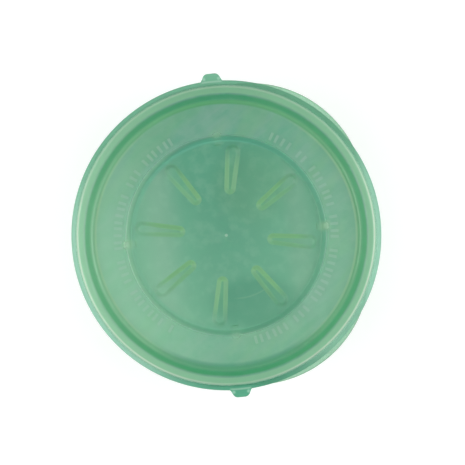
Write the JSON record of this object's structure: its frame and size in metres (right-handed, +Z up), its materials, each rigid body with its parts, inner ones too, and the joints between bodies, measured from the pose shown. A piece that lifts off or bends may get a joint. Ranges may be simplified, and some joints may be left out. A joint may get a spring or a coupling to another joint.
{
  "type": "snap lid food container",
  "caption": "Round translucent plastic food container: a tapered bowl with a rolled rim and grips, and a snap lid with ribs and pull tabs.",
  "frame": {"origin": "on the container's axis, at the level of the surface that the foot ring stands on", "axes": "+Z up along the axis; +Y through one of the lid's two pull tabs, -Y through the other; +X towards the side that has the bowl's two grips"},
  "size_m": [0.1208, 0.1266, 0.064],
  "materials": {
    "bowl_plastic": "translucent jade-green polypropylene, satin",
    "lid_plastic": "translucent jade-green polypropylene, satin"
  },
  "bodies": {
    "bowl": {"bowl": "bowl_plastic"},
    "lid": {"lid": "lid_plastic"}
  },
  "joints": [
    {"name": "lid_lift", "type": "slide", "parent": "bowl", "child": "lid", "axis": [0, 0, 1], "range_m": [0, 0.08]}
  ]
}
